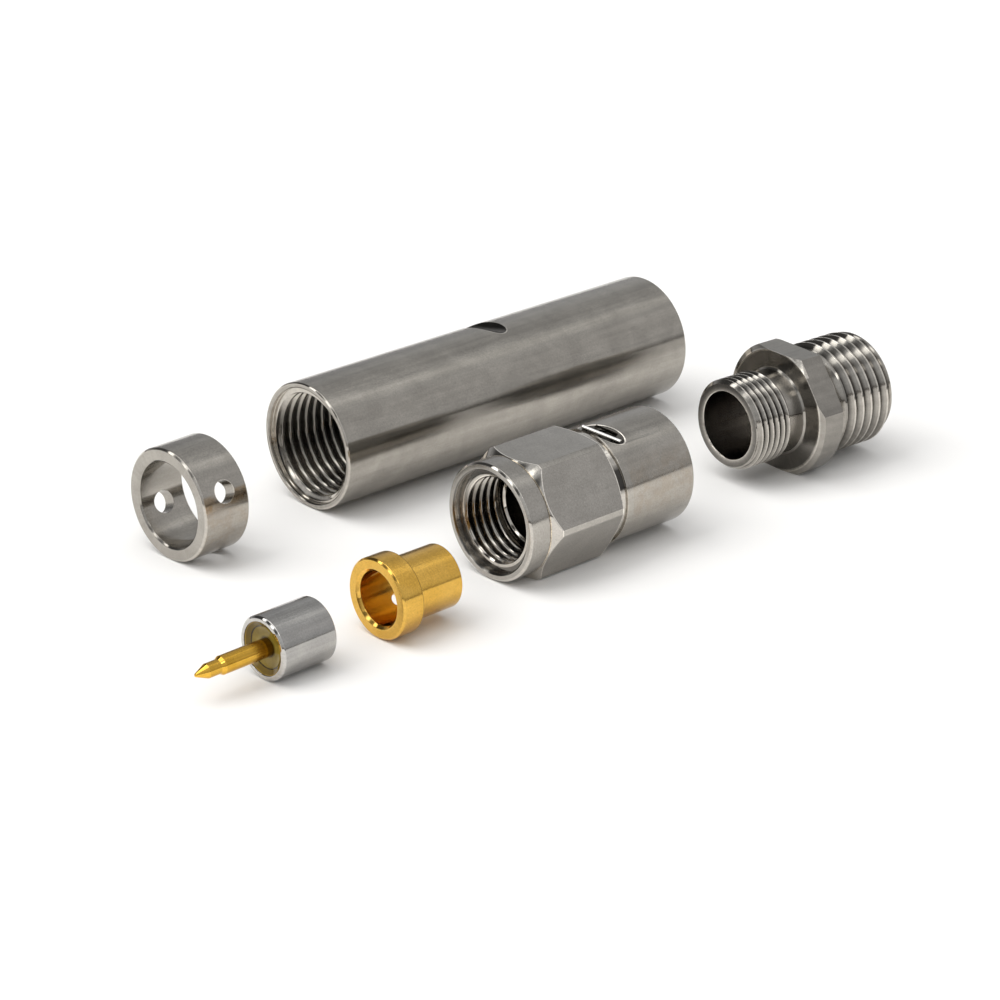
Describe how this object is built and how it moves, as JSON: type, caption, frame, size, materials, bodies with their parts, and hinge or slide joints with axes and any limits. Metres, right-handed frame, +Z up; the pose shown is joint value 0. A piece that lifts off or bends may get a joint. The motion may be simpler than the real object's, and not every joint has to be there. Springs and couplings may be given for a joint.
{
  "type": "coaxial connector",
  "caption": "Coaxial connector shown taken apart: swivel nut plug, threaded adapter, long threaded sleeve, cross-drilled ring, gold ferrule and glass-sealed centre pin.",
  "frame": {"origin": "on the floor under the middle of the kit's outline in plan", "axes": "+Z up; +Y along the pieces' axes, from their front ends to their back ends; +X from the long sleeve towards the plug and the adapter"},
  "size_m": [0.0258, 0.0596, 0.0088],
  "materials": {
    "turned_steel": "satin turned stainless steel",
    "spring_steel": "bright drawn wire",
    "gold_plate": "satin gold plating on turned brass",
    "sealing_glass": "fused, olive amber"
  },
  "bodies": {
    "kit": {"plug_body": "turned_steel", "retaining_wire": "spring_steel", "threaded_adapter": "turned_steel", "long_sleeve": "turned_steel", "cross_drilled_ring": "turned_steel", "ferrule": "gold_plate", "seal_shell": "turned_steel", "glass_bead": "sealing_glass", "centre_pin": "gold_plate"},
    "nut": {"coupling_nut": "turned_steel"}
  },
  "joints": [
    {"name": "nut_turn", "type": "hinge", "parent": "kit", "child": "nut", "pos_m": [0.00839, 0.00048, 0.00397], "axis": [0, 1, 0], "continuous": true}
  ]
}
